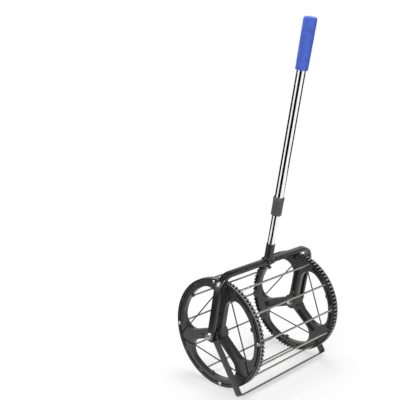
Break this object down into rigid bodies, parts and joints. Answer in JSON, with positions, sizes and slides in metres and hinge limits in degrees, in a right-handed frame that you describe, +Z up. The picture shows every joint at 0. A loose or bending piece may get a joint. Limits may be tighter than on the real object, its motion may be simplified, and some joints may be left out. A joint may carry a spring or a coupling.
{
  "type": "tennis ball roller collector",
  "caption": "Push-along ball collector: a rod drum between ribbed wheels in a tube yoke, with a folding strip stand and a telescopic pole with foam grip.",
  "frame": {"origin": "on the floor under the middle of the object's bounding box", "axes": "+X along the axle from the left wheel to the right wheel, -Y towards the foot of the stand, +Z up"},
  "size_m": [0.3886, 0.2904, 0.902],
  "materials": {
    "wheel_plastic": "satin moulded black",
    "rod_steel": "bright plated steel rod",
    "zinc_plated_steel": "bright zinc plated",
    "elastic_cord": "black braided elastic",
    "nylon": "plain moulded",
    "black_paint": "satin black powder coat",
    "black_plastic": "satin moulded black",
    "pole_chrome": "polished chrome plate",
    "blue_foam": "fine closed-cell foam"
  },
  "bodies": {
    "frame": {"arm_cap_left": "black_plastic", "arm_cap_right": "black_plastic", "friction_washer_left": "nylon", "friction_washer_right": "nylon", "hub_bolt_left": "zinc_plated_steel", "hub_bolt_right": "zinc_plated_steel", "hub_nut_left": "zinc_plated_steel", "hub_nut_right": "zinc_plated_steel", "hub_spacer_left": "black_plastic", "hub_spacer_right": "black_plastic", "inner_washer_left": "zinc_plated_steel", "inner_washer_right": "zinc_plated_steel", "lower_tube": "pole_chrome", "lower_tube_guide": "nylon", "outer_washer_left": "zinc_plated_steel", "outer_washer_right": "zinc_plated_steel", "pole_socket": "black_paint", "socket_screw": "zinc_plated_steel", "yoke": "black_paint"},
    "drum": {"cord_left_1": "elastic_cord", "cord_left_2": "elastic_cord", "cord_left_3": "elastic_cord", "cord_right_1": "elastic_cord", "cord_right_2": "elastic_cord", "cord_right_3": "elastic_cord", "hub_bush_left": "nylon", "hub_bush_right": "nylon", "rod_01": "rod_steel", "rod_02": "rod_steel", "rod_03": "rod_steel", "rod_04": "rod_steel", "rod_05": "rod_steel", "rod_06": "rod_steel", "rod_07": "rod_steel", "rod_08": "rod_steel", "rod_09": "rod_steel", "rod_10": "rod_steel", "rod_11": "rod_steel", "rod_12": "rod_steel", "tie_screw_left_01": "zinc_plated_steel", "tie_screw_left_04": "zinc_plated_steel", "tie_screw_left_07": "zinc_plated_steel", "tie_screw_left_10": "zinc_plated_steel", "tie_screw_right_01": "zinc_plated_steel", "tie_screw_right_04": "zinc_plated_steel", "tie_screw_right_07": "zinc_plated_steel", "tie_screw_right_10": "zinc_plated_steel", "wheel_left": "wheel_plastic", "wheel_right": "wheel_plastic"},
    "stand": {"stand": "black_paint"},
    "upper_pole": {"upper_tube": "pole_chrome", "lock_collet": "nylon", "grip_plug": "black_plastic", "foam_grip": "blue_foam"},
    "collar": {"twist_collar": "black_plastic"}
  },
  "joints": [
    {"name": "drum_spin", "type": "hinge", "parent": "frame", "child": "drum", "pos_m": [0, 0.00522, 0.14], "axis": [1, 0, 0], "continuous": true},
    {"name": "stand_fold", "type": "hinge", "parent": "frame", "child": "stand", "pos_m": [0, 0.00522, 0.14], "axis": [-1, 0, 0], "range_deg": [0, 126]},
    {"name": "pole_slide", "type": "slide", "parent": "frame", "child": "upper_pole", "axis": [0, -0.1754, 0.9845], "range_m": [-0.075, 0.28]},
    {"name": "collar_twist", "type": "hinge", "parent": "upper_pole", "child": "collar", "pos_m": [0, -0.04906, 0.4447], "axis": [0, -0.1754, 0.9845], "range_deg": [0, 90]}
  ]
}
